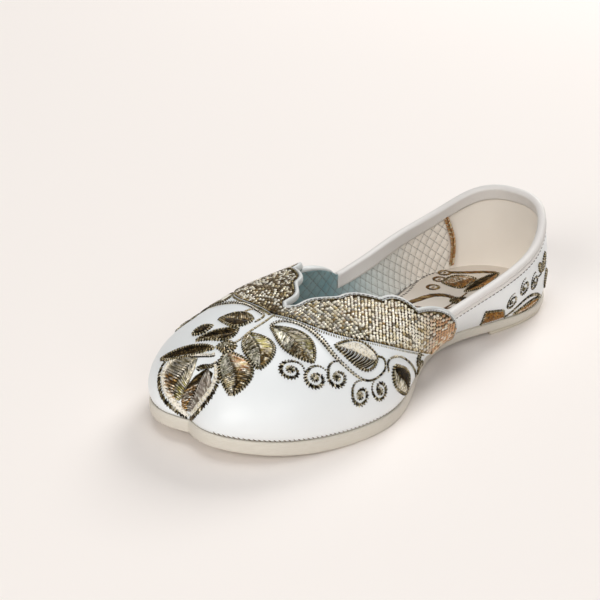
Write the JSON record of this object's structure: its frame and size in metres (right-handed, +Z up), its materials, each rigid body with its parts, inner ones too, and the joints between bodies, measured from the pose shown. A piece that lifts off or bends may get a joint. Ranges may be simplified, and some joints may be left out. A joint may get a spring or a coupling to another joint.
{
  "type": "embroidered ballet flat",
  "caption": "Low leather slip-on shoe with a scalloped throat, a heart-shaped toe, a bound collar and a flat sole, made to carry zari embroidery.",
  "frame": {"origin": "on the floor under the middle of the shoe's length and width", "axes": "+Z up from the floor the sole stands on, +Y towards the heel, -Y towards the toe, +X across to one side; left and right halves mirror each other across X = 0"},
  "size_m": [0.1004, 0.235, 0.0542],
  "materials": {
    "upper_leather": "smooth white leather with a soft sheen",
    "binding_leather": "thin white leather strip, folded and stitched",
    "insole_leather": "matt beige lining leather",
    "outsole_leather": "cream leather, cut and burnished edge",
    "heel_lift_leather": "tan sole leather, matt"
  },
  "bodies": {
    "root": {"upper": "upper_leather", "topline_binding": "binding_leather", "insole": "insole_leather", "outsole": "outsole_leather", "heel_lift": "heel_lift_leather"}
  },
  "joints": []
}
